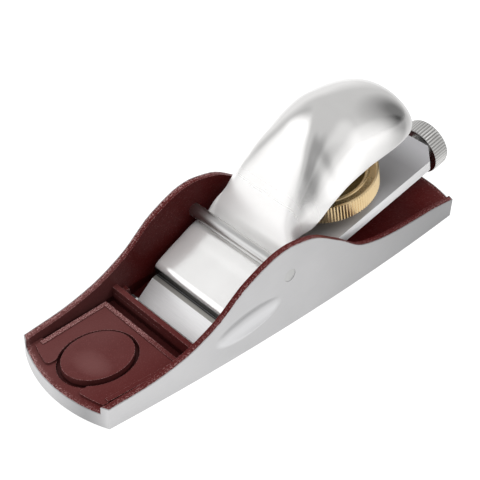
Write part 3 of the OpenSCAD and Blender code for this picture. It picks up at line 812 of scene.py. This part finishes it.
def make_casting():
    """The body: its solid with rounded edges. The outward ones carry the worn paint and its
    painted glints.
    """
    piece = bpy.data.objects.new("casting", frame["nodes"]["body"].data.copy())
    bpy.context.scene.collection.objects.link(piece)
    only(piece)
    bpy.ops.object.mode_set(mode="EDIT")
    bpy.ops.mesh.select_all(action="SELECT")
    bpy.ops.mesh.remove_doubles(threshold=CAST_MERGE)
    bpy.ops.mesh.dissolve_limited(angle_limit=CAST_FLAT)
    bpy.ops.mesh.select_all(action="DESELECT")
    bpy.ops.mesh.select_mode(type="EDGE")
    bpy.ops.mesh.edges_select_sharp(sharpness=CAST_SHARP)
    bpy.ops.object.mode_set(mode="OBJECT")
    piece.data.materials.clear()
    piece.data.materials.append(casting_paint("casting_paint", 0))
    piece.data.materials.append(casting_paint("worn_paint", 1))
    # the pin fits its holes flush, so their rims stay sharp
    low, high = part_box("cross_pin")
    centre = (low + high) / 2
    weight = piece.data.attributes.new("bevel_weight_edge", "FLOAT", "EDGE")
    for edge in piece.data.edges:
        at_pin = all((v.xz - centre.xz).length < 0.6 * PIN_D for v in ends_of(piece, edge))
        weight.data[edge.index].value = float(edge.select and not at_pin)
    modifier(
        piece,
        "BEVEL",
        width=CAST_ROUND,
        segments=3,
        limit_method="WEIGHT",
        use_clamp_overlap=True,
        miter_outer="MITER_ARC",
        material=1,
    )
    smooth(piece, 30)
    modifier(piece, "WEIGHTED_NORMAL", keep_sharp=True)
    # the rounds of outward edges keep the worn paint with its painted glints, and those of inward
    #     ones lose it
    shape = bmesh.new()
    shape.from_mesh(piece.data)
    for face, same in zip(piece.data.polygons, shape.faces):
        if sum(edge.calc_face_angle_signed(0) for edge in same.edges) < CAST_OUTWARD:
            face.material_index = 0
    shape.free()
    dress(piece, None, "plane_body", "body")


def make_blade():
    """The blade: a bar with its bevel ground, its rear corners cut and a slot underneath."""
    middle = EDGE_BACK + BLADE_LEN / 2
    bpy.ops.mesh.primitive_cube_add(size=1, location=(middle, 0, BLADE_T / 2))
    piece = started("blade_iron")
    piece.scale = (BLADE_LEN, BLADE_W, BLADE_T)
    bpy.ops.object.transform_apply(location=True, rotation=True, scale=True)
    front, back = EDGE_BACK, EDGE_BACK + BLADE_LEN
    pick(piece, "vertices", lambda v: v.co.x < front + MM and v.co.z > BLADE_T / 2)
    bpy.ops.transform.translate(value=(BEVEL_RUN, 0, 0))

    def rear_corner(edge):
        a, b = ends_of(piece, edge)
        return min(a.x, b.x) > back - MM and abs(a.y - b.y) < MM

    pick(piece, "edges", rear_corner)
    bpy.ops.mesh.bevel(offset=CORNER_CUT, segments=1)

    def ground_edge(edge):
        a, b = ends_of(piece, edge)
        return min(a.x, b.x) > front + MM or abs(a.y - b.y) < MM

    pick(piece, "edges", ground_edge)
    bpy.ops.mesh.bevel(offset=BLADE_ROUND, segments=2)
    only(piece)
    bpy.ops.mesh.primitive_cube_add(size=1, location=(SLOT_ALONG + SLOT_LEN / 2, 0, 0))
    cutter = started("slot_cutter")
    cutter.scale = (SLOT_LEN, SLOT_W, 2 * SLOT_DEPTH)
    modifier(piece, "BOOLEAN", operation="DIFFERENCE", object=cutter, solver="EXACT")
    bpy.data.objects.remove(cutter)
    put(piece, BED)
    smooth(piece, 25)
    dress(piece, blade_steel(), "iron", "blade")


def make_pin():
    """The cross pin, with its ends a little rounded."""
    low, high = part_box("cross_pin")
    bpy.ops.mesh.primitive_cylinder_add(
        vertices=72, radius=PIN_D / 2, depth=high.y - low.y, location=(low + high) / 2
    )
    piece = started("cross_bar")
    bpy.ops.transform.rotate(
        value=math.pi / 2, orient_axis="X", center_override=tuple((low + high) / 2)
    )
    bpy.ops.object.transform_apply(location=True, rotation=True, scale=True)

    def end_edge(edge):
        a, b = ends_of(piece, edge)
        return abs(a.y - b.y) < 0.1 * MM

    pick(piece, "edges", end_edge)
    bpy.ops.mesh.bevel(offset=PIN_ROUND, segments=2)
    smooth(piece, 40)

    def darkening(xyz):
        """Duller ends, where the pin comes out of the walls."""
        return abs(xyz[1]).over(BODY_W / 2 - MM, 0.1 * MM) * 0.3

    steel = turned_steel(
        "pin_steel",
        dark=rgb(0.56, 0.56, 0.555),
        light=rgb(0.70, 0.70, 0.69),
        rough=0.24,
        ring=0.2 * MM,
        darkening=darkening,
    )
    dress(piece, steel, "plane_body", "cross_pin")


# Lines of the lever cap, as (place along the bed, value), drawn as smooth curves. The first is
# the height of its top, the second its half width, and the third the height of its rim.
TOP_LINE = [
    (NOSE, CAP_UNDER + NOSE_T),
    (NOSE + 9 * MM, CAP_UNDER + NOSE_T + 1.3 * MM),
    (PIN_ALONG - 2 * MM, PLATE_TOP),
    (PIN_ALONG + PIN_D / 2 + 0.4 * MM, PLATE_TOP),
    (28.6 * MM, 10.9 * MM),
    (31 * MM, 14.6 * MM),
    (34 * MM, 18.8 * MM),
    (38 * MM, 22.9 * MM),
    (44 * MM, SPOON_H - 6.2 * MM),
    (50 * MM, SPOON_H - 1.7 * MM),
    (CROWN, SPOON_H),
    (CROWN + 5 * MM, SPOON_H),
]
HALF_LINE = [
    (NOSE, 14 * MM),
    (16 * MM, 14.9 * MM),
    (PIN_ALONG, PLATE_HALF),
    (29 * MM, PLATE_HALF - 0.4 * MM),
    (33 * MM, SPOON_HALF - 0.1 * MM),
    (38 * MM, SPOON_HALF + 0.7 * MM),
    (44 * MM, SPOON_HALF + 0.9 * MM),
    (52 * MM, SPOON_HALF + 0.5 * MM),
    (HALF_FROM, SPOON_HALF),
]
RIM_LINE = [
    (NOSE, CAP_UNDER),
    (PLATE_END, CAP_UNDER),
    (33 * MM, 12.8 * MM),
    (38 * MM, 13.1 * MM),
    (46 * MM, SPOON_RIM + 1.2 * MM),
    (53 * MM, SPOON_RIM + 2.2 * MM),
    (TAIL, SPOON_RIM),
]
# How square each section is: 2 makes an ellipse
ROUND_LINE = [
    (NOSE, 10),
    (PIN_ALONG, 12),
    (29 * MM, 13),
    (34 * MM, 9),
    (40 * MM, 4.6),
    (48 * MM, 2.4),
    (60 * MM, 2),
]
# The share of the half width that the skirt flares
FLARE_LINE = [
    (NOSE, 0),
    (26 * MM, 0),
    (33 * MM, 0.16),
    (40 * MM, 0.17),
    (50 * MM, 0.12),
    (60 * MM, 0),
]
FLARE_POWER = 5  # how much of the flare lies close to the rim

# Each skin is a grid of sections, which lie closer together towards both ends
SKIN_SECTIONS = 132
SECTION_HALF = 30
NOSE_CROWDING = 1.35
TAIL_CROWDING = 1.5

# The tail: seen from the side and from above it is a squared oval
TOP_FALL, TOP_ROUND = 1.35, 2.2
HALF_FALL, HALF_ROUND = 4, 3

# The top is softened over a reach that grows behind the plate
SOFT_REACH = 0.8 * MM
SOFT_MORE = 1.4 * MM
SOFT_FROM = 31 * MM
SOFT_RUN = 4 * MM
SOFT_STEPS = 3

# The inner skin's roof stays this far above the rim, which grows away from its end
ROOF_LEAST = 0.02 * MM
ROOF_MORE = 0.7 * MM
ROOF_RUN = 4 * MM
ROOF_AHEAD = 0.6 * CAP_WALL


def curve(line, a):
    """The value at a of the smooth curve through the points of line."""
    a = min(max(a, line[0][0]), line[-1][0])
    i = max(0, min(len(line) - 2, sum(p[0] <= a for p in line) - 1))

    def rate(k):
        return (line[k + 1][1] - line[k][1]) / (line[k + 1][0] - line[k][0])

    def slope(k):
        if k == 0:
            return rate(0)
        if k == len(line) - 1:
            return rate(k - 1)
        before, after = rate(k - 1), rate(k)
        return 0 if before * after <= 0 else 2 * before * after / (before + after)

    w = line[i + 1][0] - line[i][0]
    t = (a - line[i][0]) / w
    return (
        line[i][1] * (2 * t**3 - 3 * t**2 + 1)
        + slope(i) * w * (t**3 - 2 * t**2 + t)
        + line[i + 1][1] * (3 * t**2 - 2 * t**3)
        + slope(i + 1) * w * (t**3 - t**2)
    )


def share(a, start, end):
    """How far a lies on the way from start to end, between 0 and 1."""
    return min(1, max(0, (a - start) / (end - start)))


def oval(t, fall, turn):
    """1 at t = 0, and 0 at t = 1, where the curve comes down square."""
    return max(0, 1 - t**fall) ** (1 / turn)


def cap_top(a):
    """The height of the cap's top, with its nose rounded."""
    if a > CROWN:
        left = oval(share(a, CROWN, TAIL), TOP_FALL, TOP_ROUND)
        return SPOON_RIM + (SPOON_H - SPOON_RIM) * left
    short = max(0, NOSE_ROUND - (a - NOSE))
    return curve(TOP_LINE, a) - NOSE_ROUND + math.sqrt(NOSE_ROUND**2 - short**2)


def cap_half(a):
    """Half the cap's width."""
    if a > HALF_FROM:
        return SPOON_HALF * oval(share(a, HALF_FROM, TAIL), HALF_FALL, HALF_ROUND)
    return curve(HALF_LINE, a)


def softened(line, a):
    """The mean of a line round a, so that the polished skin has no kinks."""
    reach = min(SOFT_REACH, max(0, a - NOSE - NOSE_ROUND))
    reach += SOFT_MORE * share(a, SOFT_FROM, SOFT_FROM + SOFT_RUN)
    steps = range(-SOFT_STEPS, SOFT_STEPS + 1)
    return sum(line(a + reach * k / SOFT_STEPS) for k in steps) / len(steps)


def outer_form(a):
    """The half width, the rim's height and the top's height of the outer skin."""
    return max(LEAST_HALF, cap_half(a)), curve(RIM_LINE, a), softened(cap_top, a)


def inner_form(a):
    """The same form one wall further in."""
    half = min(cap_half(a), cap_half(a + CAP_WALL)) - CAP_WALL
    rim = curve(RIM_LINE, a)
    behind, ahead = max(NOSE, a - CAP_WALL), min(TAIL, a + ROOF_AHEAD)
    roof = min(cap_top(behind), cap_top(ahead), cap_top(a)) - CAP_WALL
    end = TAIL - CAP_WALL
    least = rim + ROOF_LEAST + ROOF_MORE * (1 - share(a, end - ROOF_RUN, end))
    return max(LEAST_HALF, half), rim, max(least, roof)


def skin(name, first, last, form):
    """One skin of the cap: a grid whose lines are the cap's sections, closed at both ends."""
    bpy.ops.mesh.primitive_grid_add(
        x_subdivisions=SKIN_SECTIONS, y_subdivisions=2 * SECTION_HALF, size=2
    )
    piece = started(name)
    for v in piece.data.vertices:
        t = ((v.co.x + 1) / 2) ** NOSE_CROWDING
        a = first + (last - first) * (1 - (1 - t) ** TAIL_CROWDING)
        half, rim, top = form(a)
        flare, power = curve(FLARE_LINE, a), 2 / curve(ROUND_LINE, a)
        side = abs(v.co.y)
        turn = side * math.pi / 2
        across = (1 - flare) * math.sin(turn) ** power + flare * side**FLARE_POWER
        height = rim + (top - rim) * max(0, math.cos(turn)) ** power
        v.co = (a, math.copysign(half * across, v.co.y), height)
    for end in (first, last):
        pick(piece, "vertices", lambda v: abs(v.co.x - end) < 0.1 * NEAR)
        bpy.ops.mesh.edge_face_add()
    bpy.ops.object.mode_set(mode="OBJECT")
    return piece


def make_cap():
    """The lever cap: an outer and an inner skin, joined along the rim, and the screw's boss."""
    outer = skin("spoon_cap", NOSE, TAIL - TAIL_GAP, outer_form)
    inner = skin("inner", NOSE + NOSE_SOLID, TAIL - CAP_WALL - TAIL_GAP, inner_form)
    only(outer, inner)
    bpy.ops.object.join()
    faces_at = Counter(key for face in outer.data.polygons for key in face.edge_keys)
    pick(outer, "edges", lambda edge: faces_at[tuple(sorted(edge.vertices))] == 1)
    bpy.ops.mesh.bridge_edge_loops()
    tidy_normals(outer)
    modifier(
        outer,
        "BEVEL",
        width=CAP_ROUND,
        segments=3,
        limit_method="ANGLE",
        angle_limit=CAP_SHARP,
        use_clamp_overlap=True,
    )
    bore = SCREW_D / 2 + SCREW_GAP
    boss = turned(
        "boss",
        BOSS_SIDES,
        BOSS_D / 2,
        BOSS_FROM,
        BOSS_TO,
        [(BOSS_FROM, bore), (BOSS_FROM + BOSS_BORE, bore)],
        [(BOSS_ROOT, SCREW_D / 2)],
    )
    put(boss, Matrix.Translation((CLAMP, 0, 0)))
    only(outer, boss)
    bpy.ops.object.join()
    put(outer, BED)
    smooth(outer, 38)
    dress(outer, polished_metal(), "cap", "lever_cap")


def make_wheel():
    """The clamp wheel: a knurled rim round a dish, with its hub."""
    r, top, lip = WHEEL_D / 2, WHEEL_TOP, WHEEL_D / 2 - RIM_LIP
    piece = turned(
        "clamp_disc",
        2 * WHEEL_TEETH,
        r,
        WHEEL_FROM + WHEEL_ROUND,
        top - WHEEL_ROUND - 0.1 * MM,
        [
            (WHEEL_FROM, r - WHEEL_ROUND),
            (WHEEL_FROM, FOOT_D / 2),
            (HUB_FROM, FOOT_D / 2),
            (HUB_FROM, SCREW_D / 2),
        ],
        [
            # the rounded outer edge, and the groove in the rim's top
            (top - 0.1 * MM, r - 0.1 * MM),
            (top, r - WHEEL_ROUND),
            (top - RIM_GROOVE, r - 2 * WHEEL_ROUND),
            (top - RIM_GROOVE, r - 2.2 * MM),
            # the lip, and the dish inside it
            (top - LIP_ROUND, lip + LIP_HALF),
            (top, lip),
            (top - LIP_ROUND, lip - LIP_HALF),
            (top - 0.5 * MM, r - RIM_W + 0.2 * MM),
            (top - WHEEL_DISH, r - RIM_W),
            (top - WHEEL_DISH, HUB_D / 2),
            # the hub
            (top + HUB_RISE, HUB_D / 2 - HUB_RISE),
            (top + HUB_RISE, SCREW_D / 2),
        ],
    )
    knurl(piece, r, 2 * WHEEL_TEETH, WHEEL_TEETH, (0, TEETH_DEPTH))
    put(piece, BED @ Matrix.Translation((CLAMP, 0, 0)))
    smooth(piece, 20)
    dress(piece, brass(), "wheel", "clamp_wheel")


def make_nut():
    """The adjusting nut: a ridged head, a neck with the fork's groove, and a blind bore."""
    r, neck, bore = NUT_D / 2, NECK_D / 2, STUD_BORE / 2
    front, end = NUT_ALONG, NUT_END
    sides = 4 * NUT_RIDGES
    piece = turned(
        "depth_nut",
        sides,
        r,
        front + NUT_ROUND,
        end - NUT_CHAMFER,
        [
            # the head's front, with its hollow round the neck
            (front + 0.2 * NUT_ROUND, r - 0.4 * NUT_ROUND),
            (front, r - 1.2 * NUT_ROUND),
            (front, r - 1.7 * MM),
            (front + NUT_HOLLOW, r - 1.9 * MM),
            # the neck, with the groove for the fork
            (front + NUT_HOLLOW, neck),
            (FORK_ALONG + FORK_T, neck),
            (FORK_ALONG + FORK_T, neck - GROOVE_DEPTH),
            (FORK_ALONG, neck - GROOVE_DEPTH),
            (FORK_ALONG, neck),
            (NECK_FROM + NECK_CHAMFER, neck),
            (NECK_FROM, neck - NECK_CHAMFER),
            # the bore for the stud
            (NECK_FROM, bore),
            (end - NUT_WALL, bore),
        ],
        [
            # the head's end, with its shallow recess
            (end - 0.25 * MM, r - 0.3 * MM),
            (end, r - 0.9 * MM),
            (end - NUT_RECESS, r - 2.2 * MM),
            (end - NUT_RECESS, MM),
        ],
    )
    flank = RIDGE_FLANK * RIDGE_DEPTH
    knurl(piece, r, sides, NUT_RIDGES, (0, flank, RIDGE_DEPTH, flank))
    axis = Matrix.Translation((0, 0, -ADJUSTER_DROP)) @ Matrix.Rotation(math.pi / 2, 4, "Y")
    put(piece, BED @ axis)
    smooth(piece, 34)

    def darkening(xyz):
        """Painted shade in the grooves between the ridges and on the front face."""
        along, above = on_bed(xyz)
        off = ((above + ADJUSTER_DROP) ** 2 + xyz[1] ** 2) ** 0.5
        groove = 1 - off.over(r - 0.5 * RIDGE_DEPTH, 0.7 * RIDGE_DEPTH)
        on_head = 1 - along.over(end - 0.3 * MM, 0.2 * MM)
        at_front = 1 - along.over(front + 0.06 * MM, 0.1 * MM)
        return (groove * 0.6 * on_head).most(at_front * 0.65)

    steel = turned_steel(
        "nut_steel",
        dark=rgb(0.72, 0.71, 0.70),
        light=rgb(0.92, 0.91, 0.89),
        rough=0.16,
        ring=0.2 * MM,
        darkening=darkening,
    )
    dress(piece, steel, "nut", "adjusting_nut")


def finish_plain_nodes():
    """The hidden steel pieces stay as they are, in turned steel."""
    steel = turned_steel(
        "screw_steel",
        dark=rgb(0.42, 0.42, 0.41),
        light=rgb(0.62, 0.615, 0.60),
        rough=0.28,
        ring=0.25 * MM,
    )
    for name in ("clamp_screw", "pressure_pad", "adjuster_stud", "feed_slide"):
        node = frame["nodes"][name]
        node.data.materials.clear()
        node.data.materials.append(steel)


# The studio

FLOOR_SIZE = 6
FLOOR_DROP = 0.02 * MM
LAMP_AIM = Vector((0, 0, 15 * MM))
# Each lamp's place, its size, and its power in watts
SOFTBOXES = {
    "overhead": ((-0.1, 0.1, 0.8), 0.9, 6),
    "heel_side": ((0.5, -0.28, 0.42), 0.4, 2.2),
}
SKY_TO_CAMERA = 0.5
SKY_TO_METAL = 0.5


def make_camera():
    """The camera, with its roll about its own axis."""
    made = bpy.data.objects.new("camera", bpy.data.cameras.new("camera"))
    bpy.context.scene.collection.objects.link(made)
    azimuth, elevation, roll = (
        math.radians(v) for v in (CAMERA_AZIMUTH, CAMERA_ELEVATION, CAMERA_ROLL)
    )
    back = Vector(
        (
            math.sin(azimuth) * math.cos(elevation),
            -math.cos(azimuth) * math.cos(elevation),
            math.sin(elevation),
        )
    )
    level = Vector((math.cos(azimuth), math.sin(azimuth), 0))
    upright = back.cross(level)
    right = math.cos(roll) * level + math.sin(roll) * upright
    up = math.cos(roll) * upright - math.sin(roll) * level
    made.matrix_world = (
        Matrix.Translation(CAMERA_AT) @ Matrix((right, up, back)).transposed().to_4x4()
    )
    made.data.lens = CAMERA_LENS
    made.data.sensor_width = CAMERA_SENSOR
    made.data.clip_start = CAMERA_NEAR
    made.data.clip_end = CAMERA_FAR
    bpy.context.scene.camera = made


def make_floor():
    """The floor under the plane."""
    bpy.ops.mesh.primitive_plane_add(size=FLOOR_SIZE, location=(0, 0, -FLOOR_DROP))
    floor = started("floor")
    floor.data.materials.append(studio_floor())


def softbox(name, centre, size, power):
    """A square, soft area lamp that faces the plane. The metal's reflections don't show it."""
    lamp = bpy.data.lights.new(name, "AREA")
    lamp.shape = "SQUARE"
    lamp.size = size
    lamp.energy = power
    made = bpy.data.objects.new(name, lamp)
    made.location = centre
    made.rotation_euler = (LAMP_AIM - Vector(centre)).to_track_quat("-Z", "Y").to_euler()
    made.visible_glossy = False
    bpy.context.scene.collection.objects.link(made)


def make_light():
    """The sky that the metal reflects, and the lamps that light the rest."""
    world = bpy.data.worlds.new("studio")
    world.use_nodes = True
    bpy.context.scene.world = world
    sky = world.node_tree.nodes["Background"]
    start = Socket(world.node_tree)
    camera = start.node("ShaderNodeLightPath", output="Is Camera Ray")
    towards = start.node("ShaderNodeTexCoord", output="Generated")
    level = room_level(start, towards) * SKY_TO_METAL
    sky.inputs["Strength"].default_value = FULL_GLOW
    feed(sky, "Color", seen_as(camera, SKY_TO_CAMERA, level))
    for name, (centre, size, power) in SOFTBOXES.items():
        softbox(name, centre, size, power)
    bpy.context.scene.view_settings.view_transform = "Standard"


make_casting()
make_blade()
make_pin()
make_cap()
make_wheel()
make_nut()
finish_plain_nodes()
make_camera()
make_floor()
make_light()
